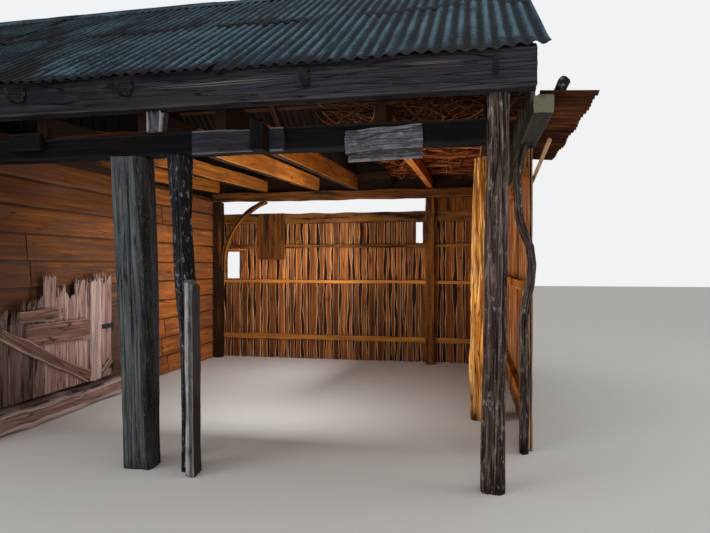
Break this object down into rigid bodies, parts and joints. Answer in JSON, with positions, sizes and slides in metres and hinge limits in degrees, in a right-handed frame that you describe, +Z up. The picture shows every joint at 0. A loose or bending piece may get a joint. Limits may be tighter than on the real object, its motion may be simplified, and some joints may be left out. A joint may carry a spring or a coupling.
{
  "type": "open-fronted timber field shelter",
  "caption": "Rustic timber shelter: an open-fronted bay on log posts beside a closed boarded store, under one corrugated pitched roof, with a broken half gate on the inner wall.",
  "frame": {"origin": "middle of the plan of the whole building, at ground level", "axes": "+X right along the open front, +Y from the front to the back, +Z up"},
  "size_m": [6.58, 4.518, 3.7426],
  "materials": {
    "corrugated_sheet": "weathered, mossy, rusty",
    "eave_timber": "sawn, weathered, cracked",
    "dark_beam": "tarred, weathered",
    "grey_board": "silvered, split",
    "big_post_wood": "hewn, lichen-grey",
    "dark_post_wood": "old, dark, cracked",
    "bark": "bark left on",
    "inside_timber": "sawn, dry",
    "weatherboard": "lapped, brown",
    "waney_slab": "waney edged, rough",
    "gate_wood": "rotted, worn",
    "pale_timber": "sawn, pale",
    "iron": "rusted"
  },
  "bodies": {
    "shelter": {"front_sheets": "corrugated_sheet", "rear_sheets": "corrugated_sheet", "ridge_cap": "corrugated_sheet", "ridge_board": "inside_timber", "rafters": "inside_timber", "purlins": "inside_timber", "eave_beam_front": "eave_timber", "eave_beam_rear": "eave_timber", "front_beam": "dark_beam", "beam_blocks": "dark_beam", "facing_board": "grey_board", "nailed_boards": "grey_board", "stub_post": "grey_board", "eave_irons": "iron", "big_post": "big_post_wood", "thin_post": "dark_post_wood", "short_post": "grey_board", "corner_post": "dark_post_wood", "bark_post": "bark", "side_trunk": "bark", "side_plate": "pale_timber", "side_strip": "corrugated_sheet", "side_log": "bark", "side_slabs": "waney_slab", "side_rails": "inside_timber", "side_pole": "pale_timber", "gables": "waney_slab", "partition_wall": "weatherboard", "store_front": "weatherboard", "store_rear": "weatherboard", "store_end": "weatherboard", "store_door": "weatherboard", "wall_posts": "inside_timber", "rear_plate": "inside_timber", "knee_brace": "inside_timber", "back_rails": "inside_timber", "back_boards": "waney_slab", "patch_boards": "inside_timber", "joists": "inside_timber", "brush_poles": "bark", "sill_log": "gate_wood", "gate_pintles": "iron"},
    "gate": {"gate_boards": "gate_wood", "gate_frame": "gate_wood", "gate_straps": "iron"}
  },
  "joints": [
    {"name": "gate_hinge", "type": "hinge", "parent": "shelter", "child": "gate", "pos_m": [-0.638, -0.35, 0.5], "axis": [0, 0, 1], "range_deg": [0, 170]}
  ]
}
